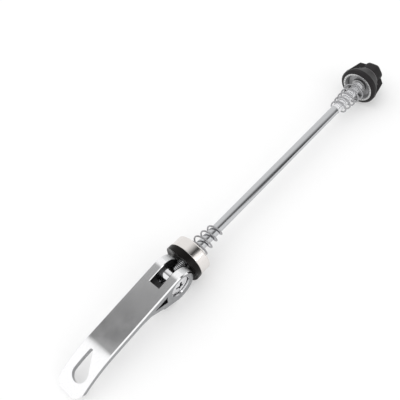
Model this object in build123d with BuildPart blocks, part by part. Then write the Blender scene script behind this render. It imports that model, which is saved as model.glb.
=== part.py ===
"""Quick release skewer for a front wheel, in millimetres.

The rod lies along X with the nut at +X and the lever at -X. The origin is on the rod's axis, in the plane of the
collar's clamping face. Z is up, and the lever's pivot runs along Y. The lever is drawn in its own frame, with the
pivot at the origin and the blade along -X, and is then turned to the slope that it lies at.
"""
import os
from math import acos, atan, atan2, cos, degrees, hypot, radians, sin, sqrt

from build123d import *

# rod
rod_dia = 4.5
thread_dia = 4.9            # outer size of the screw thread at the nut's end
thread_len = 24.2           # length of the thread, from the rod's end
thread_engaged = 5.0        # how far the rod reaches past the nut's clamping face
rod_stub = 3.0              # how far the rod reaches past the pivot's axis, inside the barrel
rod_chamfer = 0.5
clamp_gap = 121.2           # from the collar's clamping face to the nut's

# fits
run_gap = 0.05              # radial clearance of a fit that turns or slides
seat_gap = 0.03             # radial clearance of pieces that are pressed together
side_gap = 0.12             # sideways clearance of the lever between the pin's two heads

# collar
collar_dia = 17.8
collar_len = 5.6
collar_edge = 0.7           # rounding of the outer edge at the clamping face
collar_bore = 5.6
collar_recess_dia = 13.2    # the spring's seat
collar_recess_depth = 2.2
collar_teeth = 24
collar_tooth_deep = 0.45
collar_tooth_len = 1.4

# saddle
flange_dia = 18.1
flange_len = 3.3
flange_edge = 0.3
spigot_dia = 10.0           # fits in the back of the collar
spigot_len = 1.5
trough_depth = 1.3          # from the saddle's back to the bottom of the trough
trough_radius = 28.0
cam_gap = 0.4               # between the cam and the trough, with the lever as it lies

# lever
lever_slope = 8.2           # how far the blade lies below the rod's line, in degrees
lever_width = 13.4
cam_radius = 8.1
cam_back = 0.4              # the cam's centre from the pivot, towards the tip
cam_drop = 1.35             # the cam's centre below the pivot
bend_start = 38.0           # where the blade begins to bend, from the pivot
bend_radius = 43.0
bend_angle = 32.0
tip_thick = 2.4
tip_corner = 4.6
blade_thick = 3.1           # where the blade begins to bend
root_thick = 3.3            # where the strut meets the blade
blade_root = 22.0           # the same place, from the pivot
strut_round = 5.5           # rounding on the under side, between strut and blade
strut_foot = (11.4, -2.3)   # lower line of the strut, each point from the pivot
strut_head = (17.4, 2.6)
nub_tip = (10.8, -4.3)
nub_base = (9.9, -4.9)
window_top = 3.65           # thickness of the plate above the window
window_near = 7.0           # upper corner beside the eye
window_low = (8.1, -1.1)
window_far = 14.7
window_bulge = 0.35         # how far the side by the eye swells into the window
slot_gap = 0.35             # beside the rod
slot_back = 7.2             # end of the slot, from the pivot
edge_chamfer = 0.5
slot_chamfer = 0.25
hole_small = (42.4, 1.35, 0.85)   # finger hole: narrow end, as place, offset and radius
hole_large = (51.4, -0.85, 3.6)   # finger hole: round end

# pivot
barrel_dia = 8.0
head_dia = 9.6              # screw's head, and the barrel's own head on the far side
head_gap = 0.4              # round the heads, in the lever's two recesses
head_recess_depth = 1.9
head_rim = 0.9              # height of the head's straight rim
head_dome = 0.8
screw_dia = 4.0
screw_len = 2.2
cross_width = 1.3           # drive recess
cross_span = 5.0
cross_depth = 1.2

# springs
wire_dia = 0.8
spring_seat = 0.04
coil_gap = 0.3              # between the wire and the rod
lever_spring_big = 10.0     # mean diameter of the widest coil
lever_spring_len = 17.2
lever_spring_turns = 4.5
nut_spring_len = 16.2
nut_spring_turns = 5
nut_spring_off = 1.8        # between its wide end and the plane of the nut's teeth
nut_spring_small = 6.9      # mean diameter of the narrowest coil

# nut
nut_rim_dia = 19.2
nut_rim_len = 2.2           # straight part of the rim
nut_rim_edge = 0.6
cone_len = 8.6              # from the clamping face to the end of the cone
cone_end_dia = 12.2
wing_len = 11.2             # two ribs on the cone, to turn the nut by: their outer end, from the clamping face
wing_end = 13.0             # where their sloping ends meet the knob
wing_span = 15.4            # across the two ribs, at their end
wing_thick = 4.0
wing_edge = 0.5
knob_corners = 11.8         # across the corners of the six-sided knob
knob_len = 15.4             # its end, from the clamping face
knob_corner_edge = 1.2
knob_dome = 2.2
knob_turn = 22.5            # turn of the ribs about the rod, in degrees
bore_gap = 0.35             # round the rod, in the blind bore behind the thread
bore_end = 2.2              # from the end of the bore to the end of the knob
rim_wall = 1.7              # plastic round the insert's toothed ring
cone_wall = 0.9             # plastic round the insert's tail, at the end of the cone
ring_len = 3.6
ring_proud = 0.2            # the toothed ring stands out from the plastic
insert_len = 7.4
face_width = 0.9            # width of the toothed ring's face
dish_slope = 0.9            # how far the dish's side leans in
dish_depth = 2.6
hub_dia = 7.4
hub_top = 1.0               # the hub's face below the ring's
nut_teeth = 30
nut_tooth_deep = 0.4
nut_tooth_len = 0.6

# places along the rod
flange_back = -(collar_len + flange_len)
trough_axis = flange_back + trough_depth - trough_radius
slope = radians(lever_slope)
cam_x = -cam_back * cos(slope) + cam_drop * sin(slope)
cam_z = -cam_back * sin(slope) - cam_drop * cos(slope)
pivot_x = trough_axis + sqrt((trough_radius - cam_radius - cam_gap) ** 2 - cam_z ** 2) - cam_x
rod_start = pivot_x - rod_stub
rod_end = clamp_gap + thread_engaged
wing_root = sqrt(nut_rim_dia ** 2 - wing_thick ** 2) / 2
knob_flats = knob_corners * cos(radians(30))

# sizes that follow from a neighbour and a clearance
slot_width = rod_dia + 2 * slot_gap
head_recess_dia = head_dia + 2 * head_gap
lever_spring_small = rod_dia + wire_dia + 2 * coil_gap
nut_bore_dia = thread_dia + 2 * bore_gap
nut_bore_depth = knob_len - bore_end
ring_dia = nut_rim_dia - 2 * rim_wall
insert_tail_dia = cone_end_dia - 2 * cone_wall
dish_dia = ring_dia - 2 * face_width
dish_floor_dia = dish_dia - 2 * dish_slope
nut_spring_big = (hub_dia + dish_floor_dia) / 2
last_coil = nut_spring_small + (nut_spring_big - nut_spring_small) / 2 / nut_spring_turns
nut_spring_drop = (last_coil - wire_dia - thread_dia) / 2 - spring_seat  # its last coil hangs on the rod

# the lever's own frame
lever_top = cam_radius - cam_drop
half_width = lever_width / 2
bend = radians(bend_angle)
tip_x = -bend_start - bend_radius * sin(bend)
pin_half = half_width - head_recess_depth + side_gap


def tangent_point(centre, radius, point, turn):
    """Where a line from point touches a circle, on the side that turn (1 or -1) names."""
    across, up = point[0] - centre[0], point[1] - centre[1]
    angle = atan2(up, across) + turn * acos(radius / hypot(across, up))
    return (centre[0] + radius * cos(angle), centre[1] + radius * sin(angle))


def back(point):
    """A point given from the pivot towards the tip, in the lever's frame."""
    return (-point[0], point[1])


with BuildPart() as rod:
    with BuildSketch(Plane.XZ):
        with BuildLine():
            Polyline(
                (rod_start, 0),
                (rod_start, rod_dia / 2 - rod_chamfer),
                (rod_start + rod_chamfer, rod_dia / 2),
                (rod_end - thread_len, rod_dia / 2),
                (rod_end - thread_len + (thread_dia - rod_dia) / 2, thread_dia / 2),
                (rod_end - rod_chamfer, thread_dia / 2),
                (rod_end, thread_dia / 2 - rod_chamfer),
                (rod_end, 0),
                close=True,
            )
        make_face()
    revolve(axis=Axis.X)

with BuildPart(Plane.YZ) as collar:
    with BuildSketch(Plane.XZ):
        with BuildLine():
            Polyline(
                (-collar_len, spigot_dia / 2 + seat_gap),
                (-collar_len, collar_dia / 2),
                (0, collar_dia / 2),
                (0, collar_recess_dia / 2),
                (-collar_recess_depth, collar_recess_dia / 2),
                (-collar_recess_depth, collar_bore / 2),
                (-collar_len + spigot_len, collar_bore / 2),
                (-collar_len + spigot_len, spigot_dia / 2 + seat_gap),
                close=True,
            )
        collar_face = make_face()
        fillet(collar_face.vertices().sort_by(Axis.X)[-2:].sort_by(Axis.Y)[-1:], collar_edge)
    revolve(axis=Axis.X)
    with PolarLocations(collar_recess_dia / 2 + (collar_tooth_len - collar_tooth_deep) / 2, collar_teeth):
        Box(
            collar_tooth_len + collar_tooth_deep, collar_tooth_deep * sqrt(2), collar_tooth_deep * sqrt(2),
            rotation=(45, 0, 0), mode=Mode.SUBTRACT,
        )

with BuildPart() as saddle:
    with BuildSketch(Plane.XZ):
        with BuildLine():
            Polyline(
                (spigot_len - collar_len, rod_dia / 2 + run_gap),
                (spigot_len - collar_len, spigot_dia / 2),
                (-collar_len, spigot_dia / 2),
                (-collar_len, flange_dia / 2 - flange_edge),
                (-collar_len - flange_edge, flange_dia / 2),
                (flange_back + flange_edge, flange_dia / 2),
                (flange_back, flange_dia / 2 - flange_edge),
                (flange_back, rod_dia / 2 + run_gap),
                close=True,
            )
        make_face()
    revolve(axis=Axis.X)
    with Locations((trough_axis, 0, 0)):
        Cylinder(trough_radius, 2 * flange_dia, rotation=(90, 0, 0), mode=Mode.SUBTRACT)

with BuildPart() as lever_form:
    cam_centre = (-cam_back, -cam_drop)
    touch = tangent_point(cam_centre, cam_radius, back(nub_base), 1)
    bend_centre = (-bend_start, lever_top - bend_radius)
    tip_over = (tip_x, bend_centre[1] + bend_radius * cos(bend))
    tip_under = (tip_x + tip_thick * sin(bend), tip_over[1] - tip_thick * cos(bend))
    under_start = (-bend_start, lever_top - blade_thick)
    under_root = (-blade_root, lever_top - root_thick)
    with BuildSketch(Plane.XZ):
        with BuildLine():
            Line((-cam_back, lever_top), (-bend_start, lever_top))
            CenterArc(bend_centre, bend_radius, 90, bend_angle)
            Line(tip_over, tip_under)
            TangentArc(under_start, tip_under, tangent=(-1, 0))
            Polyline(
                under_start,
                under_root,
                back(strut_head),
                back(strut_foot),
                back(nub_tip),
                back(nub_base),
                touch,
            )
            ThreePointArc(touch, (cam_radius - cam_back, -cam_drop), (-cam_back, lever_top))
        side_face = make_face()
        for place in (under_root, back(strut_head)):
            fillet(side_face.vertices().sort_by_distance(place)[0], strut_round)
    extrude(amount=half_width, both=True)
    tip_edges = lever_form.edges().filter_by(lambda e: e.length < tip_thick * 1.01).sort_by(Axis.X)[:2]
    fillet(tip_edges, tip_corner)
    top_edges = lever_form.faces().filter_by(Axis.Z).sort_by(Axis.Z)[-1].edges().filter_by(Axis.X)
    chamfer(top_edges, edge_chamfer)

    with BuildSketch(Plane.XZ):
        with BuildLine():
            corner = (-window_near, lever_top - window_top)
            low = back(window_low)
            middle = ((corner[0] + low[0]) / 2 - window_bulge, (corner[1] + low[1]) / 2)
            ThreePointArc(corner, middle, low)
            Polyline(low, (-window_far, lever_top - window_top), corner)
        make_face()
    extrude(amount=half_width, both=True, mode=Mode.SUBTRACT)

    with BuildSketch(Plane.XY.offset(lever_top)):
        with BuildLine():
            small = (-hole_small[0], hole_small[1])
            large = (-hole_large[0], hole_large[1])
            lean = atan2(small[1] - large[1], small[0] - large[0])
            spread = acos((hole_large[2] - hole_small[2]) / hypot(small[0] - large[0], small[1] - large[1]))
            ends = []
            for turn in (1, -1):
                angle = lean + turn * spread
                ends.append([(c[0] + r * cos(angle), c[1] + r * sin(angle))
                             for c, r in ((small, hole_small[2]), (large, hole_large[2]))])
            Line(*ends[0])
            Line(*ends[1])
            ThreePointArc(
                ends[0][0], (small[0] + hole_small[2] * cos(lean), small[1] + hole_small[2] * sin(lean)), ends[1][0])
            ThreePointArc(
                ends[0][1], (large[0] - hole_large[2] * cos(lean), large[1] - hole_large[2] * sin(lean)), ends[1][1])
        make_face()
    extrude(amount=-4 * cam_radius, mode=Mode.SUBTRACT)

    with BuildSketch(Plane.XY.offset(lever_top)):
        with Locations((-slot_back, 0)):
            Rectangle(slot_back + 2 * cam_radius, slot_width, align=(Align.MIN, Align.CENTER))
    extrude(amount=-4 * cam_radius, mode=Mode.SUBTRACT)
    slot_edges = lever_form.faces().filter_by(Axis.Z).sort_by(Axis.Z)[-1].edges()
    chamfer(slot_edges.filter_by(lambda e: abs(abs(e.center().Y) - slot_width / 2) < 0.01), slot_chamfer)
    window_rise = (lever_top - window_top - window_low[1]) / (window_far - window_low[0])
    with BuildSketch(Plane.XZ):
        Polygon(
            (0, lever_top - window_top),
            (-window_low[0] - 2 * window_bulge, lever_top - window_top),
            (-window_low[0] - 2 * window_bulge, window_low[1] + 2 * window_bulge * window_rise),
            back(window_low),
            (0, window_low[1]),
            align=None,
        )
    extrude(amount=slot_width / 2, both=True, mode=Mode.SUBTRACT)

    Cylinder(barrel_dia / 2 + run_gap, 2 * lever_width, rotation=(90, 0, 0), mode=Mode.SUBTRACT)
    for side in (-1, 1):
        with Locations((0, side * (half_width - head_recess_depth / 2), 0)):
            Cylinder(head_recess_dia / 2, head_recess_depth, rotation=(90, 0, 0), mode=Mode.SUBTRACT)

with BuildPart() as lever:
    with Locations(Location((pivot_x, 0, 0), (0, -lever_slope, 0))):
        add(lever_form.part)

with BuildPart() as pivot_barrel:
    with BuildSketch(Plane.XY.shift_origin((pivot_x, 0, 0))):
        with BuildLine():
            Polyline(
                (0, -pin_half),
                (barrel_dia / 2, -pin_half),
                (barrel_dia / 2, pin_half),
                (head_dia / 2, pin_half),
                (head_dia / 2, pin_half + head_rim),
                (head_dia / 2 - head_dome, pin_half + head_rim + head_dome / 2),
                (0, pin_half + head_rim + head_dome / 2),
                close=True,
            )
        make_face()
    revolve(axis=Axis((pivot_x, 0, 0), (0, 1, 0)))
    with Locations((pivot_x, 0, 0)):
        Cylinder(rod_dia / 2 + seat_gap, 2 * barrel_dia, rotation=(0, 90, 0), mode=Mode.SUBTRACT)
    with Locations((pivot_x, -pin_half, 0)):
        Cylinder(screw_dia / 2 + seat_gap, 2 * screw_len, rotation=(90, 0, 0), mode=Mode.SUBTRACT)

with BuildPart() as pivot_screw:
    with BuildSketch(Plane.XY.shift_origin((pivot_x, 0, 0))):
        with BuildLine():
            rim_y = -pin_half - head_rim
            sphere = (head_dia ** 2 / 4 + head_dome ** 2) / (2 * head_dome)
            half_x = head_dia / 4
            half_y = rim_y - head_dome + sphere - sqrt(sphere ** 2 - half_x ** 2)
            Polyline(
                (0, rim_y - head_dome),
                (0, screw_len - pin_half),
                (screw_dia / 2, screw_len - pin_half),
                (screw_dia / 2, -pin_half),
                (head_dia / 2, -pin_half),
                (head_dia / 2, rim_y),
            )
            ThreePointArc((head_dia / 2, rim_y), (half_x, half_y), (0, rim_y - head_dome))
        make_face()
    revolve(axis=Axis((pivot_x, 0, 0), (0, 1, 0)))
    with Locations((pivot_x, rim_y - head_dome + cross_depth / 2, 0)):
        Box(cross_span, cross_depth, cross_width, rotation=(0, 20, 0), mode=Mode.SUBTRACT)
        Box(cross_width, cross_depth, cross_span, rotation=(0, 20, 0), mode=Mode.SUBTRACT)

with BuildPart() as lever_spring:
    coil_start = -collar_recess_depth + wire_dia / 2 + spring_seat
    coil_len = lever_spring_len - wire_dia
    with BuildLine():
        coil = Helix(
            coil_len / lever_spring_turns, coil_len, lever_spring_big / 2, center=(coil_start, 0, 0), direction=(1, 0, 0),
            cone_angle=degrees(atan((lever_spring_small - lever_spring_big) / 2 / coil_len)),
        )
    with BuildSketch(Plane(origin=coil @ 0, z_dir=coil % 0)):
        RegularPolygon(wire_dia / 2, 6)
    sweep(is_frenet=True)

with BuildPart() as nut_spring:
    coil_start = (clamp_gap - nut_spring_off, 0, -nut_spring_drop)
    coil_len = nut_spring_len - wire_dia
    with BuildLine():
        coil = Helix(
            coil_len / nut_spring_turns, coil_len, nut_spring_big / 2, center=coil_start, direction=(-1, 0, 0),
            cone_angle=degrees(atan((nut_spring_small - nut_spring_big) / 2 / coil_len)),
        )
    with BuildSketch(Plane(origin=coil @ 0, z_dir=coil % 0)):
        RegularPolygon(wire_dia / 2, 6)
    sweep(is_frenet=True)

with BuildPart(Plane.YZ.offset(clamp_gap)) as nut_insert:
    with BuildSketch(Plane.XZ.shift_origin((clamp_gap, 0, 0))):
        with BuildLine():
            Polyline(
                (hub_top, thread_dia / 2 + run_gap),
                (hub_top, hub_dia / 2),
                (dish_depth, hub_dia / 2),
                (dish_depth, dish_floor_dia / 2),
                (0, dish_dia / 2),
                (0, ring_dia / 2),
                (ring_len, ring_dia / 2),
                (ring_len, insert_tail_dia / 2),
                (insert_len, insert_tail_dia / 2),
                (insert_len, thread_dia / 2 + run_gap),
                close=True,
            )
        make_face()
    revolve(axis=Axis.X)
    with PolarLocations(dish_dia / 2 + (nut_tooth_len - nut_tooth_deep) / 2, nut_teeth):
        Box(
            nut_tooth_len + nut_tooth_deep, nut_tooth_deep * sqrt(2), nut_tooth_deep * sqrt(2),
            rotation=(45, 0, 0), mode=Mode.SUBTRACT,
        )

with BuildPart() as nut_cover:
    with BuildSketch(Plane.XZ.shift_origin((clamp_gap, 0, 0))):
        with BuildLine():
            Polyline(
                (ring_proud, 0),
                (ring_proud, nut_rim_dia / 2 - nut_rim_edge),
                (ring_proud + nut_rim_edge, nut_rim_dia / 2),
                (nut_rim_len, nut_rim_dia / 2),
                (cone_len, cone_end_dia / 2),
                (cone_len, 0),
                close=True,
            )
        make_face()
    revolve(axis=Axis.X)
    with BuildSketch(Plane.XY.shift_origin((clamp_gap, 0, 0)).rotated((knob_turn, 0, 0))):
        Polygon(
            (nut_rim_len, wing_root),
            (wing_len, wing_span / 2),
            (wing_end, knob_flats / 2),
            (wing_end, -knob_flats / 2),
            (wing_len, -wing_span / 2),
            (nut_rim_len, -wing_root),
            align=None,
        )
    extrude(amount=wing_thick / 2, both=True)
    chamfer(nut_cover.faces().sort_by(Axis.X)[-3:-1].edges(), wing_edge)
    with BuildSketch(Plane.YZ.offset(clamp_gap + nut_rim_len)):
        knob_outline = RegularPolygon(knob_corners / 2, 6, rotation=knob_turn + 30)
        fillet(knob_outline.vertices(), knob_corner_edge)
    extrude(amount=knob_len - nut_rim_len)
    fillet(nut_cover.faces().sort_by(Axis.X)[-1].edges(), knob_dome)
    with BuildSketch(Plane.XZ.shift_origin((clamp_gap, 0, 0))):
        with BuildLine():
            Polyline(
                (ring_proud, 0),
                (ring_proud, ring_dia / 2 + seat_gap),
                (ring_len, ring_dia / 2 + seat_gap),
                (ring_len, insert_tail_dia / 2 + seat_gap),
                (insert_len, insert_tail_dia / 2 + seat_gap),
                (insert_len, nut_bore_dia / 2),
                (nut_bore_depth, nut_bore_dia / 2),
                (nut_bore_depth, 0),
                close=True,
            )
        make_face()
    revolve(axis=Axis.X, mode=Mode.SUBTRACT)

rod.part.label = "rod"
collar.part.label = "collar"
saddle.part.label = "saddle"
lever.part.label = "lever"
pivot_barrel.part.label = "pivot_barrel"
pivot_screw.part.label = "pivot_screw"
lever_spring.part.label = "lever_spring"
nut_spring.part.label = "nut_spring"
nut_insert.part.label = "nut_insert"
nut_cover.part.label = "nut_cover"

os.makedirs("parts", exist_ok=True)
export_step(rod.part, "parts/rod.step")
export_step(collar.part, "parts/collar.step")
export_step(saddle.part, "parts/saddle.step")
export_step(lever.part, "parts/lever.step")
export_step(pivot_barrel.part, "parts/pivot_barrel.step")
export_step(pivot_screw.part, "parts/pivot_screw.step")
export_step(lever_spring.part, "parts/lever_spring.step")
export_step(nut_spring.part, "parts/nut_spring.step")
export_step(nut_insert.part, "parts/nut_insert.step")
export_step(nut_cover.part, "parts/nut_cover.step")
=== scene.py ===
"""Quick release skewer: looks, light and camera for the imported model.

The part's lengths are in millimetres and are turned to metres where a mesh is made. The floor, the lamps
and the camera are in metres, and so are names that end in _m. The rod runs along X, with the nut at +X,
and the origin is in the plane of the collar's clamping face.
"""

import bmesh
import bpy
import numpy as np
from mathutils import Matrix, Vector


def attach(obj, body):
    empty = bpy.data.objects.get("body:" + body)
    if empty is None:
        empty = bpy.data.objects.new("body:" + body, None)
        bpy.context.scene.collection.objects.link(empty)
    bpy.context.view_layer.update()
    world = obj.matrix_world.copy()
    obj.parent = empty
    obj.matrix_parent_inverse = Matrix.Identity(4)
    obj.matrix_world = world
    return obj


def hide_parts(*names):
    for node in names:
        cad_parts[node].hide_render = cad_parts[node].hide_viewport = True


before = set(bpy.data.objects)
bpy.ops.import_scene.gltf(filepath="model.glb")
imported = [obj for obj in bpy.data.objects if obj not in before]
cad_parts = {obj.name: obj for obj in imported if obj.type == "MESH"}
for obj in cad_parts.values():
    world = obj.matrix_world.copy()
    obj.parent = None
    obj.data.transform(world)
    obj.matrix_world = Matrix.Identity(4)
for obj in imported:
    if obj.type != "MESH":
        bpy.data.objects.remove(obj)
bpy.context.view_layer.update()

MM = 0.001
TURN = 2 * np.pi
QUARTER = TURN / 4
WHITE = (1.0, 1.0, 1.0, 1.0)

# Numbers of the Mix node's sockets for colours, whose names repeat, and of its two values.
MIX_A, MIX_B, MIX_OUT = 6, 7, 2
VALUE_A, VALUE_B = 2, 3

# Rod, with a screw thread for the nut and a short one in the pivot barrel.
rod_start, rod_end = -18.946, 126.2
rod_radius = 2.25
rod_chamfer = 0.5
thread_radius = 2.45
thread_start = 102.0
thread_pitch = 0.8
thread_depth = 0.18
stub_thread_end = -6.5

# Pivot screw: domed head, cross-shaped drive recess and stem.
pivot_x = -15.946
pin_half = 4.92
head_radius = 4.8
head_rim = 0.9
head_dome = 0.8
head_sphere = (head_radius ** 2 + head_dome ** 2) / (2 * head_dome)
drive_zone = 3.5
drive_depth = 1.1
drive_half, drive_side_wall = 0.8, 0.3
drive_reach, drive_end_wall = 2.65, 0.9
drive_turn = np.radians(20.0)
stem_radius, stem_len = 2.0, 2.2

# Lever: where its differently finished faces lie and where it gets painted shade, the mark for each,
# and the limits between those marks.
lever_side = 6.6
cam_front = -13.5
slot_half, slot_end = 2.7, -24.6
hole_tip, hole_root, hole_half = -71.5, -57.0, 3.9
window_tip, window_root = -31.5, -22.5
window_low, window_high = 1.0, 2.5
POLISHED, GROUND, MATT, PAINTED_SHADE = 0.0, 0.3, 0.6, 1.0
finish_and_shade_steps = (0.2, 0.5, 0.9)

# Collar: a cup with a toothed face. The saddle's neck sits in its back.
collar_radius, collar_len = 8.9, 5.6
collar_bore = 2.8
collar_nose = 0.7
collar_edge = 0.18
cup_radius, cup_depth, cup_edge = 6.6, 2.2, 0.2
collar_teeth = 24
collar_groove = 0.45
collar_groove_inner, collar_groove_outer = 6.1, 8.0

# Saddle: neck, flange and a trough across its back for the cam.
neck_front, neck_radius, neck_gap = -4.1, 5.0, 0.03
saddle_bore = 2.3
saddle_back, saddle_radius = -8.9, 9.05
saddle_edge = 0.3
trough_axis, trough_radius, trough_edge = -35.6, 28.0, 0.16

# Nut insert, measured back from the clamping face: hub, dish, toothed ring and neck.
clamp_gap = 121.2
insert_bore = 2.5
hub_front, hub_radius = 1.0, 3.7
dish_floor, dish_radius, dish_edge = 2.6, 6.1, 0.22
ring_radius, ring_back = 7.9, 3.6
insert_neck, insert_back, insert_edge = 5.2, 7.4, 0.15
insert_teeth = 30
insert_groove = 0.4
insert_groove_inner, insert_groove_outer = 6.5, 7.6

# Nut cover, measured back from the clamping face: rim, cone, two ribs and a six-sided knob.
cover_front, cover_gap = 0.2, 0.03
cover_bore, cover_bore_end = 2.8, 13.2
rim_radius, rim_len, rim_chamfer = 9.6, 2.2, 0.6
cone_len, cone_end_radius = 8.6, 6.1
rib_len, rib_end, rib_half, rib_thick = 11.2, 13.0, 7.7, 4.0
knob_len, knob_corner_radius, knob_dome = 15.4, 5.9, 2.2
knob_flat = knob_corner_radius * np.cos(TURN / 12)
knob_round, knob_blend = 0.36, 0.55
knob_turn = np.radians(22.5)
rib_blend, cover_blend = 0.5, 0.4

wire_radius = 0.4

# Points closer than this are one point.
weld_m = 2e-6


def smooth_step(t):
    """0 below 0, 1 above 1, and 3t^2 - 2t^3 between."""
    t = np.clip(t, 0.0, 1.0)
    return t * t * (3.0 - 2.0 * t)


def soft_max(a, b, width):
    """The larger of two values, with a rounded corner of about the given width where they are equal:
    max(a, b) + width / 4 * (1 - |a - b| / width)^2."""
    gap = np.abs(a - b)
    return np.maximum(a, b) + width * 0.25 * np.clip(1.0 - gap / width, 0.0, 1.0) ** 2


def soft_min(a, b, width):
    """The smaller of two values, rounded off in the same way."""
    return -soft_max(-a, -b, width)


def rounded(corners, reach):
    """A line with rounded corners: each corner c becomes the curve (1-t)^2 p + 2t(1-t) c + t^2 q, where
    p and q lie on its two sides, at the given reach or a share of the side, whichever is less."""
    share = 0.45
    steps = 5
    line = np.asarray(corners, float)
    corner = line[1:-1]
    back, on = line[:-2] - corner, line[2:] - corner
    back_len, on_len = np.linalg.norm(back, axis=1), np.linalg.norm(on, axis=1)
    cut = np.minimum(reach, share * np.minimum(back_len, on_len))
    p = corner + back * (cut / back_len)[:, None]
    q = corner + on * (cut / on_len)[:, None]
    t = np.linspace(0.0, 1.0, steps)[None, :, None]
    curve = (1 - t) ** 2 * p[:, None] + 2 * t * (1 - t) * corner[:, None] + t ** 2 * q[:, None]
    return np.vstack([line[:1], curve.reshape(-1, 2), line[-1:]])


def around(count):
    """Angles of count points round a circle, as one row."""
    return np.linspace(0.0, TURN, count, endpoint=False)[None, :]


def about_rod(x, r, angle):
    """Points at distance r from the rod's axis: (x, r cos angle, r sin angle)."""
    return np.stack(np.broadcast_arrays(x, r * np.cos(angle), r * np.sin(angle)), axis=-1)


def quads(rows, cols, loop_rows):
    """Faces of a grid of points whose columns close on themselves, and whose rows may too."""
    count = rows if loop_rows else rows - 1
    i, j = np.meshgrid(np.arange(count), np.arange(cols), indexing="ij")
    i2, j2 = (i + 1) % rows, (j + 1) % cols
    corners = [i * cols + j, i2 * cols + j, i2 * cols + j2, i * cols + j2]
    return np.stack(corners, axis=-1).reshape(-1, 4)


def vectors(items, key):
    """The named vector of each vertex or face, as an array of shape (count, 3)."""
    flat = np.empty(len(items) * 3, np.float32)
    items.foreach_get(key, flat)
    return flat.reshape(-1, 3)


def finish_mesh(mesh, sharp):
    """Closes seams and poles, turns faces outwards and shades smooth up to the angle sharp (degrees)."""
    work = bmesh.new()
    work.from_mesh(mesh)
    bmesh.ops.remove_doubles(work, verts=work.verts, dist=weld_m)
    bmesh.ops.recalc_face_normals(work, faces=work.faces)
    work.to_mesh(mesh)
    work.free()
    mesh.polygons.foreach_set("use_smooth", np.ones(len(mesh.polygons), bool))
    mesh.set_sharp_from_angle(angle=np.radians(sharp))


def new_object(name, data):
    """An object of the given mesh, lamp or camera, put in the scene."""
    made = bpy.data.objects.new(name, data)
    bpy.context.scene.collection.objects.link(made)
    return made


def dress(name, mesh, material, body, node):
    """Makes an object of a mesh, gives it a material and lets it stand for a node on its body."""
    piece = new_object(name, mesh)
    mesh.materials.clear()
    mesh.materials.append(material)
    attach(piece, body)
    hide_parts(node)
    return piece


def even_normals(piece):
    """Large faces set the shading, so that narrow rounded edges don't bend it."""
    weigh = piece.modifiers.new("even normals", "WEIGHTED_NORMAL")
    weigh.keep_sharp = True
    weigh.weight = 80


def surface_piece(name, points, loop_rows, material, body, node, sharp=40.0, wear_and_light=None):
    """A piece from a grid of points of shape (rows, cols, 3), in millimetres. The marking function, if
    given, takes x, y and z, and its value is kept on the mesh as the attribute named like that argument:
    burnish, painted shade and painted highlights."""
    rows, cols = points.shape[:2]
    mesh = bpy.data.meshes.new(name)
    mesh.from_pydata((points.reshape(-1, 3) * MM).tolist(), [], quads(rows, cols, loop_rows).tolist())
    finish_mesh(mesh, sharp)
    if wear_and_light:
        x, y, z = vectors(mesh.vertices, "co").T / MM
        mark = mesh.attributes.new("wear_and_light", "FLOAT", "POINT")
        mark.data.foreach_set("value", wear_and_light(x, y, z).astype(np.float32))
    even_normals(dress(name, mesh, material, body, node))


def bevelled_copy(node, name, material, body, width, sharp=28.0, mark=None):
    """The node's own shape with its edges rounded by width. Facets that lie flat to each other are
    joined first. mark, if given, writes attributes to its faces."""
    flat_within = np.radians(0.4)
    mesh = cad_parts[node].data.copy()
    mesh.name = name
    work = bmesh.new()
    work.from_mesh(mesh)
    bmesh.ops.remove_doubles(work, verts=work.verts, dist=weld_m)
    bmesh.ops.dissolve_limit(work, angle_limit=flat_within, verts=work.verts, edges=work.edges)
    work.to_mesh(mesh)
    work.free()
    finish_mesh(mesh, sharp)
    if mark:
        mark(mesh)
    piece = dress(name, mesh, material, body, node)
    bevel = piece.modifiers.new("edges", "BEVEL")
    bevel.width = width * MM
    bevel.segments = 3
    bevel.limit_method = "ANGLE"
    bevel.angle_limit = np.radians(sharp)
    bevel.use_clamp_overlap = True
    bevel.harden_normals = True
    even_normals(piece)


def linear(hex_colour):
    """Linear red, green, blue and alpha of an sRGB colour such as "c8c9cb"."""
    c = np.array([int(hex_colour[i:i + 2], 16) for i in (0, 2, 4)]) / 255.0
    low, high = c / 12.92, ((c + 0.055) / 1.055) ** 2.4
    return tuple(np.where(c <= 0.04045, low, high)) + (1.0,)


def grey(level):
    """A grey of the given linear level."""
    return (level, level, level, 1.0)


def add(tree, kind, inputs=None, **settings):
    """Adds a node. inputs maps socket names or numbers to values, or to the sockets that feed them."""
    made = tree.nodes.new(kind)
    for key, value in settings.items():
        setattr(made, key, value)
    for key, value in (inputs or {}).items():
        if isinstance(value, bpy.types.NodeSocket):
            tree.links.new(value, made.inputs[key])
        else:
            made.inputs[key].default_value = value
    return made


def new_material(name):
    """A node material, with its tree, its shader and its object coordinates."""
    material = bpy.data.materials.new(name)
    material.use_nodes = True
    tree = material.node_tree
    shader = tree.nodes["Principled BSDF"]
    place = add(tree, "ShaderNodeTexCoord").outputs["Object"]
    return material, tree, shader, place


def per_metre(size_mm):
    """Texture scale of a pattern whose marks are size_mm millimetres across."""
    return 1.0 / (size_mm * MM)


def streaks(tree, place, sizes_mm):
    """Noise drawn out into streaks: sizes_mm are the marks' sizes in millimetres along X, Y and Z."""
    scale = tuple(per_metre(size) for size in sizes_mm)
    drawn = add(tree, "ShaderNodeMapping", {"Vector": place, "Scale": scale}).outputs[0]
    noise = {"Vector": drawn, "Scale": 1.0, "Detail": fine_detail, "Roughness": fine_share}
    return add(tree, "ShaderNodeTexNoise", noise).outputs[0]


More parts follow.
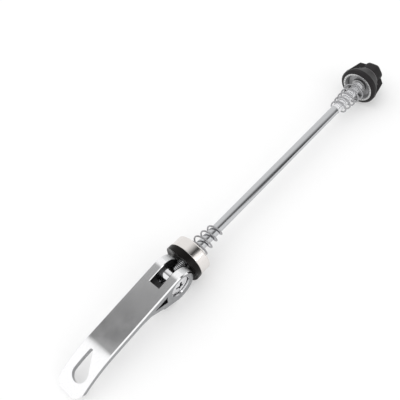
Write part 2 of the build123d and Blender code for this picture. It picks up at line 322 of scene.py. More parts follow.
def streaked_metal(name, light, dark, rough, streak_mm, bump, wear_and_light_colour=None, wear_and_light_rough=0.3):
    """A bright metal with fine streaks of the sizes streak_mm along X, Y and Z. light and dark are its
    two tints, and rough is its least and greatest roughness. The last two arguments, if given, are the
    colour and the roughness where the piece's attribute for burnish, painted shade and painted
    highlights is 1."""
    material, tree, shader, place = new_material(name)
    shader.inputs["Metallic"].default_value = 1.0
    streak = streaks(tree, place, streak_mm)
    haze = add(tree, "ShaderNodeTexNoise",
               {"Vector": place, "Scale": per_metre(haze_mm), "Detail": broad_detail}).outputs[0]
    both = add(tree, "ShaderNodeMath", {0: streak, 1: haze, 2: haze_base},
               operation="MULTIPLY_ADD").outputs[0]
    tint = add(tree, "ShaderNodeMix", {"Factor": streak, MIX_A: linear(dark), MIX_B: linear(light)},
               data_type="RGBA").outputs[MIX_OUT]
    dull = add(tree, "ShaderNodeMapRange",
               {"Value": both, "From Min": noise_low, "From Max": noise_high,
                "To Min": rough[0], "To Max": rough[1]}).outputs[0]
    if wear_and_light_colour:
        wear_and_light = add(tree, "ShaderNodeAttribute", attribute_name="wear_and_light").outputs["Fac"]
        tint = add(tree, "ShaderNodeMix", {"Factor": wear_and_light, MIX_A: tint, MIX_B: linear(wear_and_light_colour)},
                   data_type="RGBA").outputs[MIX_OUT]
        dull = add(tree, "ShaderNodeMix",
                   {"Factor": wear_and_light, VALUE_A: dull, VALUE_B: wear_and_light_rough}).outputs[0]
    tree.links.new(tint, shader.inputs["Base Color"])
    tree.links.new(dull, shader.inputs["Roughness"])
    relief = add(tree, "ShaderNodeBump",
                 {"Height": streak, "Strength": bump, "Distance": streak_deep_mm * MM})
    tree.links.new(relief.outputs[0], shader.inputs["Normal"])
    return material


def moulded_plastic(name, colour, patchy, rough, grain_mm, bump, gloss, wear_and_light_colour=None):
    """A moulded black plastic: fine spark-eroded grain, and a slight greying in patches of the colour
    patchy. rough is its least and greatest roughness. The last argument, if given, is the colour where
    the piece's attribute for painted light is 1."""
    material, tree, shader, place = new_material(name)
    grain = add(tree, "ShaderNodeTexNoise",
                {"Vector": place, "Scale": per_metre(grain_mm), "Detail": fine_detail}).outputs[0]
    patch = add(tree, "ShaderNodeTexNoise",
                {"Vector": place, "Scale": per_metre(patch_mm), "Detail": fine_detail,
                 "Roughness": fine_share}).outputs[0]
    tint = add(tree, "ShaderNodeMix", {"Factor": patch, MIX_A: linear(colour), MIX_B: linear(patchy)},
               data_type="RGBA").outputs[MIX_OUT]
    if wear_and_light_colour:
        wear_and_light = add(tree, "ShaderNodeAttribute", attribute_name="wear_and_light").outputs["Fac"]
        tint = add(tree, "ShaderNodeMix", {"Factor": wear_and_light, MIX_A: tint, MIX_B: linear(wear_and_light_colour)},
                   data_type="RGBA").outputs[MIX_OUT]
    tree.links.new(tint, shader.inputs["Base Color"])
    dull = add(tree, "ShaderNodeMapRange",
               {"Value": patch, "From Min": noise_low, "From Max": noise_high,
                "To Min": rough[0], "To Max": rough[1]}).outputs[0]
    tree.links.new(dull, shader.inputs["Roughness"])
    shader.inputs["Specular IOR Level"].default_value = gloss
    relief = add(tree, "ShaderNodeBump",
                 {"Height": grain, "Strength": bump, "Distance": grain_deep_mm * MM})
    tree.links.new(relief.outputs[0], shader.inputs["Normal"])
    return material


def lever_finish_and_shade(mesh):
    """Writes how each face of the lever was finished: polished, ground on the sides and in the finger
    hole, or matt on the cam's front. The walls of the slot and the window get a near-black painted
    shade."""
    x, y, z = vectors(mesh.polygons, "center").T / MM
    nx, ny, nz = vectors(mesh.polygons, "normal").T
    aside = np.abs(y)
    looks_aside = np.abs(ny) > 0.9
    looks_along = np.abs(ny) < 0.3
    looks_ahead = nx > 0.25
    side = (aside > lever_side) & looks_aside
    cam = (x > cam_front) & looks_ahead & looks_along
    slot = (aside < slot_half) & (x > slot_end)
    hole_wall = (np.abs(ny) > 0.25) | (np.abs(nx) > 0.72)
    hole = (x > hole_tip) & (x < hole_root) & (aside < hole_half) & hole_wall
    window_wall = ((nz > 0) & (z < window_high)) | ((nz < 0) & (z > window_low))
    window = (x > window_tip) & (x < window_root) & looks_along & window_wall
    finish_and_shade = np.where(side | hole, GROUND, POLISHED)
    finish_and_shade = np.where(cam, MATT, finish_and_shade)
    # Painted shade: the walls of the slot and the window get the near-black tint.
    finish_and_shade = np.where(slot | window, PAINTED_SHADE, finish_and_shade)
    mark = mesh.attributes.new("finish_and_shade", "FLOAT", "FACE")
    mark.data.foreach_set("value", finish_and_shade.astype(np.float32))


def lever_aluminium():
    """Forged aluminium: the lever's attribute for finish and painted shade chooses tint, roughness and
    how much of the light is mirrored. Streaks along the blade vary the tint, and haze varies the
    roughness."""
    material, tree, shader, place = new_material("polished aluminium")
    finish_and_shade = add(tree, "ShaderNodeAttribute", attribute_name="finish_and_shade").outputs["Fac"]
    streak = streaks(tree, place, lever_streak_mm)
    haze = add(tree, "ShaderNodeTexNoise",
               {"Vector": place, "Scale": per_metre(haze_mm), "Detail": broad_detail}).outputs[0]
    tint = add(tree, "ShaderNodeValToRGB", {"Fac": finish_and_shade})
    rough = add(tree, "ShaderNodeValToRGB", {"Fac": finish_and_shade})
    mirror = add(tree, "ShaderNodeValToRGB", {"Fac": finish_and_shade})
    for ramp, levels in ((tint, lever_tints), (rough, lever_roughness), (mirror, lever_mirror)):
        stops = ramp.color_ramp
        stops.interpolation = "CONSTANT"
        stops.elements[1].position = finish_and_shade_steps[2]
        stops.elements.new(finish_and_shade_steps[0])
        stops.elements.new(finish_and_shade_steps[1])
        for stop, level in zip(stops.elements, levels):
            stop.color = level
    shade = add(tree, "ShaderNodeMapRange",
                {"Value": streak, "To Min": lever_shade[0], "To Max": lever_shade[1]})
    base = add(tree, "ShaderNodeMix", {"Factor": 1.0, MIX_A: tint.outputs[0], MIX_B: shade.outputs[0]},
               data_type="RGBA", blend_type="MULTIPLY")
    tree.links.new(base.outputs[MIX_OUT], shader.inputs["Base Color"])
    dull = add(tree, "ShaderNodeMapRange",
               {"Value": haze, "From Min": noise_low, "From Max": noise_high,
                "To Min": lever_haze[0], "To Max": lever_haze[1]})
    dull = add(tree, "ShaderNodeMath", {0: dull.outputs[0], 1: rough.outputs[0]}, operation="MULTIPLY")
    tree.links.new(dull.outputs[0], shader.inputs["Roughness"])
    tree.links.new(mirror.outputs[0], shader.inputs["Metallic"])
    relief = add(tree, "ShaderNodeBump",
                 {"Height": streak, "Strength": lever_bump, "Distance": streak_deep_mm * MM})
    tree.links.new(relief.outputs[0], shader.inputs["Normal"])
    return material


# Sizes of the patterns, in millimetres. Real drawing, grinding and lathe lines are some 0.02 to 0.05 mm
# apart and the grain of a spark-eroded mould is 0.05 mm. All are drawn coarser here, so that a picture
# shows them.
haze_mm, patch_mm = 6.0, 4.5
streak_deep_mm, grain_deep_mm = 0.02, 0.03
# Layers of detail in fine and in broad noise, and how much each finer layer counts.
fine_detail, broad_detail, fine_share = 3.0, 2.0, 0.6
# Most of a noise pattern lies between its low and high value. haze_base is added to streak times haze.
noise_low, noise_high = 0.3, 0.7
haze_base = 0.25

# Forged aluminium. The blade is polished to a mirror with faint streaks along it. The sides are ground,
# so they look greyer and softer. The walls of slot and window are tinted near black, a painted shade.
# The cam's front is tumbled matt, so it scatters most of the light and stays pale beside the black
# saddle. Streaks change the tint by a factor from lever_shade, and haze changes the roughness by one
# from lever_haze.
lever_tints = (linear("f6f6f7"), linear("9fa0a2"), linear("ecedee"), linear("404042"))
lever_roughness = (grey(0.13), grey(0.3), grey(0.8), grey(0.5))
lever_mirror = (grey(1.0), grey(1.0), grey(0.3), grey(1.0))
lever_streak_mm = (8.0, 0.4, 0.4)
lever_shade, lever_haze = (0.9, 1.04), (0.85, 1.2)
lever_bump = 0.02
lever_metal = lever_aluminium()
# Cold-drawn carbon steel: die lines run along the rod. The crests of the rolled thread at the nut's
# end are lighter than its roots, partly burnish and partly a painted highlight.
rod_metal = streaked_metal("drawn steel", light="cacbcd", dark="babbbd", rough=(0.1, 0.15),
                           streak_mm=(16.0, 0.24, 0.24), bump=0.05, wear_and_light_colour="f4f4f6", wear_and_light_rough=0.14)
# Turned and polished steel of the pivot: lathe lines run round the pin, so they change along Y. The
# screw's drive recess and the edge of its head are darkened with painted shade.
pivot_metal = streaked_metal("turned steel", light="e8e8ea", dark="dadadc", rough=(0.08, 0.13),
                             streak_mm=(3.3, 0.2, 3.3), bump=0.04, wear_and_light_colour="4a4a4c")
# Nickel plate on a turned cup: lathe lines run round the rod, so they change along X. Slightly warm.
collar_metal = streaked_metal("nickel plate", light="e9e5e2", dark="ddd9d6", rough=(0.08, 0.12),
                              streak_mm=(0.2, 3.3, 3.3), bump=0.04)
# Zinc-plated music wire, bright and a little cloudy.
wire_metal = streaked_metal("bright spring wire", light="bababc", dark="949496", rough=(0.05, 0.09),
                            streak_mm=(1.1, 1.1, 1.1), bump=0.03)
# Stamped and plated steel insert: fine turning rings on a bright face, and painted shade down in the
# dish and in the grooves of its ring.
insert_metal = streaked_metal("plated steel", light="d9d9d9", dark="c5c5c5", rough=(0.16, 0.24),
                              streak_mm=(0.2, 2.5, 2.5), bump=0.06, wear_and_light_colour="959596")
# Acetal saddle: black, smooth and a little waxy.
saddle_plastic = moulded_plastic("black acetal", colour="0b0908", patchy="141110", rough=(0.22, 0.34),
                                 grain_mm=0.25, bump=0.03, gloss=0.12)
# Glass-filled nylon nut: black with a fine moulded grain, and a painted highlight along the edge of its
# cone.
nut_plastic = moulded_plastic("glass-filled nylon", colour="1c1a1b", patchy="2a2829", rough=(0.36, 0.5),
                              grain_mm=0.22, bump=0.12, gloss=0.16, wear_and_light_colour="8c8a8c")


def thread_groove(x, angle):
    """How deep the thread is cut, from 0 on its crest and on the plain rod to 1 at its root: a rounded
    wave of x / pitch - angle / turn, which fades out over the last turn of each thread."""
    steep = 1.8
    run_in = 0.3
    wave = np.abs(2.0 * ((x / thread_pitch - angle / TURN) % 1.0) - 1.0)
    groove = smooth_step(steep * wave - (steep - 1.0))
    nut_end = smooth_step((x - thread_start - run_in) / thread_pitch)
    barrel_end = smooth_step((stub_thread_end - x) / thread_pitch)
    return groove * (nut_end + barrel_end)


def threaded_rod():
    """The rod as a surface r(x, angle), where r = R - depth * thread_groove. Both ends have a chamfer
    and close on the axis."""
    sides, plain_rings = 72, 40
    fine = thread_pitch / 12.0
    step_len = 0.2
    x = np.concatenate([
        [rod_start],
        np.arange(rod_start, stub_thread_end, fine),
        np.linspace(stub_thread_end, thread_start, plain_rings),
        np.arange(thread_start + fine, rod_end, fine),
        [rod_end, rod_end],
    ])[:, None]
    angle = around(sides)
    full = rod_radius + (thread_radius - rod_radius) * np.clip((x - thread_start) / step_len, 0.0, 1.0)
    chamfer = np.minimum(np.minimum(x - rod_start, rod_end - x) - rod_chamfer, 0.0)
    r = np.minimum(full - thread_depth * thread_groove(x, angle), full + chamfer)
    r[0], r[-1] = 0.0, 0.0
    return about_rod(x, r, angle)


def coil(start, length, turns, wide, narrow, first_angle, way, drop=0.0):
    """A conical spring: round wire carried along a helix. At turn s the wire's middle is at distance
    wide + (narrow - wide) s / turns from the spring's axis, which hangs by drop below the rod's. Its
    advance eases in and out, so the end coils lie flat, and way is 1 or -1 for a spring that grows
    towards the nut or away from it. The wire's ends are rounded."""
    rings_per_turn, wire_sides, cap_rings = 48, 16, 5
    ease, ease_from = 0.4, 0.3
    cap_reach = 0.125 * wire_radius
    s = np.linspace(0.0, turns, int(turns * rings_per_turn))
    rate = smooth_step(s / ease + ease_from) * smooth_step((turns - s) / ease + ease_from)
    advance = np.concatenate([[0.0], np.cumsum((rate[1:] + rate[:-1]) / 2)])
    x = start + way * length * advance / advance[-1]
    r = wide + (narrow - wide) * s / turns
    angle = first_angle + way * TURN * s
    path = about_rod(x, r, angle)
    along = np.gradient(path, axis=0)
    along /= np.linalg.norm(along, axis=1)[:, None]
    outward = about_rod(np.zeros_like(angle), np.ones_like(angle), angle)
    outward -= along * np.sum(outward * along, axis=1)[:, None]
    outward /= np.linalg.norm(outward, axis=1)[:, None]
    across = np.cross(along, outward)
    bow = np.linspace(0.0, QUARTER, cap_rings)
    size = np.ones(len(s) + 2 * (cap_rings - 1))
    size[:cap_rings] = np.sin(bow)
    size[-cap_rings:] = np.sin(bow)[::-1]
    reach = cap_reach * (1.0 - np.cos(bow))
    first_cap = path[:1] - along[:1] * reach[:0:-1, None]
    last_cap = path[-1:] + along[-1:] * reach[1:, None]
    path = np.vstack([first_cap, path, last_cap])
    caps = ((cap_rings - 1, cap_rings - 1), (0, 0))
    outward = np.pad(outward, caps, mode="edge")
    across = np.pad(across, caps, mode="edge")
    turn = around(wire_sides)[:, :, None]
    ring = outward[:, None] * np.cos(turn) + across[:, None] * np.sin(turn)
    return path[:, None] + wire_radius * size[:, None, None] * ring - np.array([0.0, 0.0, drop])


def grooved(x, r, angle, count, deep, inner, outer, into):
    """x of a toothed face: each radial V groove reaches deep - (distance from its middle line) into the
    face, between the radii inner and outer. into is 1 or -1, the way along X into the metal."""
    period = TURN / count
    aside = r * np.abs((angle + period / 2) % period - period / 2)
    depth = np.where((r > inner) & (r < outer), np.maximum(deep - aside, 0.0), 0.0)
    return np.maximum(x, depth) if into > 0 else np.minimum(x, -depth)


def collar_surface():
    """The collar's section, a ring of corners with rounded edges, turned about the rod. Its face has
    radial grooves."""
    points_per_tooth, nose_rings = 16, 9
    at_face = 0.05
    seat_radius = neck_radius + neck_gap
    back = rounded([(-cup_depth, collar_bore), (neck_front, collar_bore), (neck_front, seat_radius),
                    (-collar_len, seat_radius), (-collar_len, collar_radius),
                    (-collar_nose, collar_radius)], collar_edge)
    bow = np.linspace(0.0, QUARTER, nose_rings)
    nose = np.stack([-collar_nose + collar_nose * np.sin(bow),
                     collar_radius - collar_nose + collar_nose * np.cos(bow)], axis=1)
    # Two rings lie close beside the outer end of the grooves, so that they end sharply.
    face_radii = np.array([8.01, 7.99, 7.6, 7.2, 6.9, 6.7, cup_radius])
    face = np.stack([np.zeros_like(face_radii), face_radii], axis=1)
    wall = rounded([(-0.1, cup_radius), (-cup_depth, cup_radius), (-cup_depth, collar_bore)], cup_edge)
    section = np.vstack([back, nose, face, wall[:-1]])
    x, r = section[:, :1], section[:, 1:]
    angle = around(collar_teeth * points_per_tooth)
    teeth = grooved(x, r, angle, collar_teeth, collar_groove, collar_groove_inner, collar_groove_outer,
                    into=-1)
    return about_rod(np.where(np.abs(x) < at_face, teeth, x), r, angle)


def saddle_surface():
    """The saddle's section turned about the rod. Its back lies at the larger of the flat back and the
    trough x = axis + sqrt(R^2 - z^2), with a softened corner between them."""
    sides, back_rings = 240, 26
    lip = 0.09
    lip_inside = 0.32
    front = rounded([(neck_front, saddle_bore), (neck_front, neck_radius), (-collar_len, neck_radius),
                     (-collar_len, saddle_radius), (saddle_back, saddle_radius)], saddle_edge)
    edge = [(saddle_back + saddle_edge, saddle_radius), (saddle_back + lip, saddle_radius - lip)]
    back_radii = np.linspace(saddle_radius - lip_inside, saddle_bore, back_rings)
    back = np.stack([np.full_like(back_radii, saddle_back), back_radii], axis=1)
    section = np.vstack([front[:-1], edge, back])
    x, r = section[:, :1], section[:, 1:]
    angle = around(sides)
    height = r * np.sin(angle)
    trough = trough_axis + np.sqrt(trough_radius ** 2 - height ** 2)
    return about_rod(soft_max(x, trough, trough_edge), r, angle)


def insert_surface():
    """The nut insert's section turned about the rod: threaded hub, dished floor and a face with fine
    radial grooves."""
    points_per_tooth = 16
    ring_inner, ring_outer, ring_deep = 6.8, 7.7, 0.5
    inner = rounded([(hub_front, insert_bore), (hub_front, hub_radius), (dish_floor, hub_radius),
                     (dish_floor, dish_radius), (0.45, 6.85)], dish_edge)
    # Here too, two rings lie close beside the outer end of the grooves.
    face = [(0.2, 6.93), (0.05, 6.985), (0.0, 7.02), (0.0, 7.2), (0.0, 7.4), (0.0, 7.59), (0.0, 7.61),
            (0.0, 7.8), (0.03, 7.87)]
    outer = rounded([(0.1, ring_radius), (ring_back, ring_radius), (ring_back, insert_neck),
                     (insert_back, insert_neck), (insert_back, insert_bore)], insert_edge)
    section = np.vstack([inner, face, outer])
    x, r = section[:, :1], section[:, 1:]
    angle = around(insert_teeth * points_per_tooth)
    teeth = grooved(x, r, angle, insert_teeth, insert_groove, insert_groove_inner, insert_groove_outer,
                    into=1)
    on_ring = (r > ring_inner) & (r <= ring_outer) & (x <= ring_deep)
    return about_rod(clamp_gap + np.where(on_ring, teeth, x), r, angle)


def nut_radius(x, angle):
    """Outer radius of the nut's cover at distance x behind the clamping face: the largest of a cone, a
    six-sided prism with a domed end, and two ribs with sloping ends, blended where they meet."""
    least = 1e-3
    slope = (cone_end_radius - rim_radius) / (cone_len - rim_len)
    cone = np.where(x < rim_len, rim_radius, rim_radius + slope * (x - rim_len))
    cone = np.minimum(cone, rim_radius - rim_chamfer + np.maximum(x - cover_front, 0.0))
    cone = np.where(x > cone_len, 0.0, cone)
    side = (angle - knob_turn + TURN / 12) % (TURN / 6) - TURN / 12
    hexagon = soft_min(knob_flat / np.cos(side), knob_corner_radius - knob_round, knob_blend)
    into_dome = np.clip((x - (knob_len - knob_dome)) / knob_dome, 0.0, 1.0)
    hexagon = hexagon - knob_dome * (1.0 - np.sqrt(np.maximum(1.0 - into_dome ** 2, 0.0)))
    root = np.sqrt(rim_radius ** 2 - (rib_thick / 2) ** 2)
    reach = root + (rib_half - root) * (x - rim_len) / (rib_len - rim_len)
    ending = rib_half + (knob_flat - rib_half) * (x - rib_len) / (rib_end - rib_len)
    reach = soft_min(reach, ending, rib_blend)
    along = np.maximum(np.abs(np.cos(angle - knob_turn)), least)
    across = np.maximum(np.abs(np.sin(angle - knob_turn)), least)
    rib = soft_min(reach / along, rib_thick / 2 / across, rib_blend)
    rib = np.where((x < rim_len) | (x > rib_end), 0.0, rib)
    return soft_max(soft_max(cone, hexagon, cover_blend), rib, cover_blend)


def cover_surface():
    """The nut's cover: its cavity, then the outside r = nut_radius(x, angle), closed on the axis."""
    sides, dome_rings = 432, 12
    just_past = 0.001
    angle = around(sides)
    neck_seat, ring_seat = insert_neck + cover_gap, ring_radius + cover_gap
    inside = np.array([(cover_bore_end, 0.0), (cover_bore_end, cover_bore), (insert_back, cover_bore),
                       (insert_back, neck_seat), (ring_back, neck_seat), (ring_back, ring_seat),
                       (cover_front, ring_seat)])
    bow = np.linspace(0.0, QUARTER, dome_rings)[1:]
    # Rings of the outside, closer where the outline turns.
    x = np.concatenate([
        [cover_front, 0.26, 0.35, 0.5, 0.65, 0.8],
        np.linspace(0.95, 2.15, 5),
        [rim_len],
        np.linspace(2.4, 8.4, 22),
        [8.55, cone_len, cone_len + just_past, 8.7],
        np.linspace(8.9, 10.6, 8),
        np.linspace(10.7, rib_end, 20),
        [rib_end + just_past, cover_bore_end],
        knob_len - knob_dome * (1.0 - np.sin(bow)),
    ])[:, None]
    cavity = about_rod(clamp_gap + inside[:, :1], inside[:, 1:], angle)
    outside = about_rod(clamp_gap + x, nut_radius(x, angle), angle)
    tip = about_rod(clamp_gap + knob_len, 0.0, angle)
    return np.concatenate([cavity, outside, tip], axis=0)


def head_height(r):
    """y of the screw's domed head at distance r from the pivot's axis, without its recess."""
    return -pin_half - head_rim - (np.sqrt(head_sphere ** 2 - r ** 2) - (head_sphere - head_dome))


def screw_surface():
    """The pivot screw, turned about the pivot's own axis along Y: a shallow sphere of the dome's height
    over a straight rim. The drive recess lowers it by depth * the larger of two crossed bars with
    leaning walls."""
    sides, drive_rings, outer_rings = 192, 42, 12
    ring_step = 0.1
    rim_round, rim_rise, screw_edge = 0.08, 0.02, 0.1
    rim_y, stem_end = -pin_half - head_rim, stem_len - pin_half
    angle = around(sides)
    head_r = np.concatenate([np.linspace(0.0, drive_zone - ring_step, drive_rings),
                             np.linspace(drive_zone, head_radius - ring_step, outer_rings)])[:, None]
    u = np.abs(head_r * np.cos(angle + drive_turn))
    v = np.abs(head_r * np.sin(angle + drive_turn))
    along_u = smooth_step((drive_half - v) / drive_side_wall)
    along_u = along_u * smooth_step((drive_reach - u) / drive_end_wall)
    along_v = smooth_step((drive_half - u) / drive_side_wall)
    along_v = along_v * smooth_step((drive_reach - v) / drive_end_wall)
    head_y = head_height(head_r) + drive_depth * np.maximum(along_u, along_v)
    rest = rounded([(head_radius - rim_round, rim_y - rim_rise), (head_radius, rim_y + rim_round),
                    (head_radius, -pin_half), (stem_radius, -pin_half), (stem_radius, stem_end),
                    (0.0, stem_end)], screw_edge)
    r = np.vstack([head_r, rest[:, :1]])
    y = np.vstack([head_y, np.broadcast_to(rest[:, 1:], (len(rest), sides))])
    return np.stack([pivot_x + r * np.cos(angle), y, r * np.sin(angle)], axis=-1)


def thread_crest_highlight(x, y, z):
    """1 on the crest of the thread at the nut's end, where burnish and a painted highlight lighten it,
    and 0 at its root and on the rest of the rod.
    """
    fade = 0.4
    return smooth_step((x - thread_start) / fade) * (1.0 - thread_groove(x, np.arctan2(z, y)))


def painted_recess_shade(x, y, z):
    """1 well below the screw's dome, in its drive recess, half as much along the head's edge, and 0 on
    the dome itself. It paints shade into the recess and along the gap round the head."""
    below, fade = 0.15, 0.5
    edge_width, edge_fade, edge_share = 0.5, 0.3, 0.5
    r = np.minimum(np.hypot(x - pivot_x, z), head_radius)
    drive = smooth_step((y - head_height(r) - below) / fade) * (r < drive_zone)
    edge = smooth_step((r - head_radius + edge_width) / edge_fade) * (y < -pin_half)
    return np.maximum(drive, edge_share * edge)


def painted_dish_shade(x, y, z):
    """1 down in the nut insert's dish and in the grooves of its toothed ring, where painted shade
    darkens these hollows, and 0 on the teeth."""
    ring_inner, groove_fade = 6.9, 0.25
    dish_from, dish_fade = 0.3, 1.2
    deep = x - clamp_gap
    in_groove = smooth_step(deep / groove_fade)
    return np.where(np.hypot(y, z) > ring_inner, in_groove, smooth_step((deep - dish_from) / dish_fade))


def painted_cone_highlight(x, y, z):
    """1 along the edge where the nut's cone ends, which gets a painted highlight, and 0 elsewhere."""
    width, height = 0.2, 0.4
    r = np.hypot(y, z)
    return np.exp(-((x - clamp_gap - cone_len) / width) ** 2 - ((r - cone_end_radius) / height) ** 2)


lever_coil = coil(start=-1.76, length=16.4, turns=4.535, wide=5.0, narrow=2.95, first_angle=QUARTER,
                  way=1)
nut_coil = coil(start=clamp_gap - 1.8, length=15.4, turns=5.02, wide=4.9, narrow=3.45,
                first_angle=-QUARTER, way=-1, drop=0.705)
# Below, the thread's crests get burnish and a painted highlight, the screw's recess and the insert's
# dish painted shade, and the nut's cone edge a painted highlight.
surface_piece("rod_bar", threaded_rod(), False, rod_metal, "skewer", "rod", sharp=50.0,
              wear_and_light=thread_crest_highlight)
surface_piece("pivot_screw_head", screw_surface(), False, pivot_metal, "skewer", "pivot_screw",
              wear_and_light=painted_recess_shade)
bevelled_copy("pivot_barrel", "pivot_pin", pivot_metal, "skewer", width=0.1)
bevelled_copy("lever", "lever_arm", lever_metal, "lever", width=0.12,
              mark=lever_finish_and_shade)
surface_piece("collar_cup", collar_surface(), True, collar_metal, "collar", "collar",
              sharp=32.0)
surface_piece("saddle_washer", saddle_surface(), True, saddle_plastic, "collar", "saddle")
surface_piece("lever_coil", lever_coil, False, wire_metal, "collar", "lever_spring")
surface_piece("nut_coil", nut_coil, False, wire_metal, "nut_carriage", "nut_spring")
surface_piece("nut_ring", insert_surface(), True, insert_metal, "nut", "nut_insert",
              sharp=32.0, wear_and_light=painted_dish_shade)
surface_piece("nut_shell", cover_surface(), False, nut_plastic, "nut", "nut_cover",
              sharp=50.0, wear_and_light=painted_cone_highlight)


def floor_under(parts):
    """A plane just under the lowest points of two nodes, level along Y: z = z0 + slope (x - x0)."""
    half_m, clear_m = 3.0, 0.00002
    low = []
    for node in parts:
        points = vectors(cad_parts[node].data.vertices, "co")
        low.append(points[points[:, 2].argmin()])
    slope = (low[1][2] - low[0][2]) / (low[1][0] - low[0][0])
    x = half_m * np.array([-1.0, 1.0, 1.0, -1.0])
    y = half_m * np.array([-1.0, -1.0, 1.0, 1.0])
    z = low[0][2] + slope * (x - low[0][0]) - clear_m
    mesh = bpy.data.meshes.new("floor")
    mesh.from_pydata(np.stack([x, y, z], axis=1).tolist(), [], [(0, 1, 2, 3)])
    return new_object("floor", mesh)


# White card on the table: matt, a little uneven. Where it is seen, part of it shows as plain white,
# which keeps the shadow as faint as in the photograph.
card_mm = 160.0
card_low, card_high = "f6f6f6", "fafafa"
card_plain = 0.3
card, card_tree, card_shader, card_place = new_material("white card")
card_shader.inputs["Roughness"].default_value = 0.9
card_shader.inputs["Specular IOR Level"].default_value = 0.1
card_cloud = add(card_tree, "ShaderNodeTexNoise",
                 {"Vector": card_place, "Scale": per_metre(card_mm), "Detail": broad_detail})
card_tint = add(card_tree, "ShaderNodeMix",
                {"Factor": card_cloud.outputs[0], MIX_A: linear(card_low), MIX_B: linear(card_high)},
                data_type="RGBA")
card_tree.links.new(card_tint.outputs[MIX_OUT], card_shader.inputs["Base Color"])
card_path = add(card_tree, "ShaderNodeLightPath").outputs
card_seen = add(card_tree, "ShaderNodeMath",
                {0: card_path["Is Camera Ray"], 1: card_path["Is Glossy Ray"]}, operation="MAXIMUM")
card_seen = add(card_tree, "ShaderNodeMath",
                {0: card_seen.outputs[0], 1: card_path["Is Transmission Ray"]}, operation="MAXIMUM")
card_seen = add(card_tree, "ShaderNodeMath",
                {0: card_seen.outputs[0], 1: card_plain}, operation="MULTIPLY")
card_white = add(card_tree, "ShaderNodeEmission", {"Color": WHITE, "Strength": 1.0})
card_end = card_shader.outputs[0].links[0].to_node
card_mix = add(card_tree, "ShaderNodeMixShader",
               {0: card_seen.outputs[0], 1: card_shader.outputs[0], 2: card_white.outputs[0]})
card_tree.links.new(card_mix.outputs[0], card_end.inputs["Surface"])
floor = floor_under(("lever", "nut_cover"))
floor.data.materials.append(card)

# The room: a white tent with a dark gap that runs over the top and down to the far right, as the
# blade's flat top, the collar and the rod show it. slant is 0 at the gap's sharp edge and grows across
# it, and length runs along it, from the roof's levels to the wall's. Each level is a place across the
# gap and its brightness. Before the gap's edge the tent is a little brighter than white near the lever,
# so that the lever's tip shows plain white, and past it has the first level of roof or wall.
gap_across, gap_shift = (0.877, 0.488, -0.05), 0.055
gap_along, roof_to_wall = (0.57, -0.82, 0.0), (0.1, 0.45)
roof_levels = ((0.01, 1.0), (0.05, 0.19), (0.09, 0.18), (0.16, 0.33), (0.25, 0.5), (0.4, 0.9),
               (0.48, 1.0))
wall_levels = ((0.0, 0.28), (0.05, 0.2), (0.08, 0.05), (0.11, 0.05), (0.15, 0.12), (0.22, 0.34),
               (0.3, 0.68), (0.48, 1.0))
near_from, near_to = 0.5, 0.44
before_from, before_to = 0.02, -0.02
near_white = grey(1.12)
fill_strength = 0.86
world = bpy.data.worlds.new("studio")
bpy.context.scene.world = world
world.use_nodes = True
room = world.node_tree
room.nodes.clear()
toward = add(room, "ShaderNodeTexCoord").outputs["Generated"]
slant = add(room, "ShaderNodeVectorMath", {0: toward, 1: gap_across},
            operation="DOT_PRODUCT").outputs["Value"]
slant = add(room, "ShaderNodeMath", {0: slant, 1: gap_shift}, operation="ADD").outputs[0]
length = add(room, "ShaderNodeVectorMath", {0: toward, 1: gap_along},
             operation="DOT_PRODUCT").outputs["Value"]
length = add(room, "ShaderNodeMapRange",
             {"Value": length, "From Min": roof_to_wall[0], "From Max": roof_to_wall[1]}).outputs[0]
roof = add(room, "ShaderNodeValToRGB", {"Fac": slant})
wall = add(room, "ShaderNodeValToRGB", {"Fac": slant})
for ramp, levels in ((roof, roof_levels), (wall, wall_levels)):
    stops = ramp.color_ramp.elements
    stops.remove(stops[1])
    for position, level in levels[1:]:
        stops.new(position).color = grey(level)
    stops[0].position = levels[0][0]
    stops[0].color = grey(levels[0][1])
tent = add(room, "ShaderNodeMix", {"Factor": length, MIX_A: roof.outputs[0], MIX_B: wall.outputs[0]},
           data_type="RGBA")
near = add(room, "ShaderNodeSeparateXYZ", {"Vector": toward}).outputs["X"]
near = add(room, "ShaderNodeMapRange",
           {"Value": near, "From Min": near_from, "From Max": near_to}).outputs[0]
before = add(room, "ShaderNodeMapRange",
             {"Value": slant, "From Min": before_from, "From Max": before_to}).outputs[0]
near = add(room, "ShaderNodeMath", {0: near, 1: before}, operation="MULTIPLY").outputs[0]
tent = add(room, "ShaderNodeMix", {"Factor": near, MIX_A: tent.outputs[MIX_OUT], MIX_B: near_white},
           data_type="RGBA")
path = add(room, "ShaderNodeLightPath").outputs
seen = add(room, "ShaderNodeMath", {0: path["Is Glossy Ray"], 1: path["Is Transmission Ray"]},
           operation="MAXIMUM")
fill = add(room, "ShaderNodeBackground", {"Color": WHITE, "Strength": fill_strength})
shown = add(room, "ShaderNodeBackground", {"Color": tent.outputs[MIX_OUT], "Strength": 1.0})
behind = add(room, "ShaderNodeBackground", {"Color": WHITE, "Strength": 1.0})
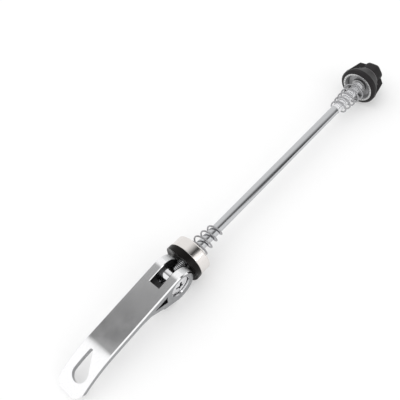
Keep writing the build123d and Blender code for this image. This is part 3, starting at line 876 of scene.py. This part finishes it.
mixed = add(room, "ShaderNodeMixShader", {0: seen.outputs[0], 1: fill.outputs[0], 2: shown.outputs[0]})
mixed = add(room, "ShaderNodeMixShader",
            {0: path["Is Camera Ray"], 1: mixed.outputs[0], 2: behind.outputs[0]})
add(room, "ShaderNodeOutputWorld", {"Surface": mixed.outputs[0]})


def hang(name, lamp, direction):
    """Puts a lamp in the scene that shines along the given direction."""
    holder = new_object(name, lamp)
    holder.rotation_euler = direction.to_track_quat("-Z", "Y").to_euler()
    return holder


# A broad far light from above, on the left and a little behind, gives the soft shadow, alike all over
# the floor. Metal doesn't mirror it.
key_light = bpy.data.lights.new("key_light", "SUN")
key_light.energy = 0.85
key_light.angle = np.radians(75.0)
key = hang("key_light", key_light, Vector((0.35, -0.6, -1.0)))
key.visible_glossy = False

# A narrow strip to the right, turned to the origin, gives the white line on the collar.
strip_place_m = Vector((0.22, -0.79, 0.607))
strip_light = bpy.data.lights.new("strip_box", "AREA")
strip_light.shape = "RECTANGLE"
strip_light.size, strip_light.size_y = 0.14, 0.5
strip_light.energy = 0.52
strip = hang("strip_box", strip_light, -strip_place_m)
strip.location = strip_place_m

# The photograph's camera: its place, its sideways, downwards and forwards directions in the model's
# frame, and its focal length in pixels of a picture 400 wide.
spot = np.array([-83.186, -95.002, 229.321]) * MM
sideways = Vector((0.66584, -0.743915, -0.056978))
downwards = Vector((-0.643166, -0.533601, -0.549188))
forwards = Vector((0.378146, 0.402318, -0.833754))
focal_px, picture_px = 613.794, 400.0
sensor_mm = 36.0
lens = bpy.data.cameras.new("camera")
lens.sensor_width = sensor_mm
lens.lens = focal_px / picture_px * sensor_mm
lens.clip_start = 0.01
camera = new_object("camera", lens)
camera.matrix_world = Matrix((
    (sideways[0], -downwards[0], -forwards[0], spot[0]),
    (sideways[1], -downwards[1], -forwards[1], spot[1]),
    (sideways[2], -downwards[2], -forwards[2], spot[2]),
    (0.0, 0.0, 0.0, 1.0),
))
bpy.context.scene.camera = camera
bpy.context.scene.view_settings.view_transform = "Standard"
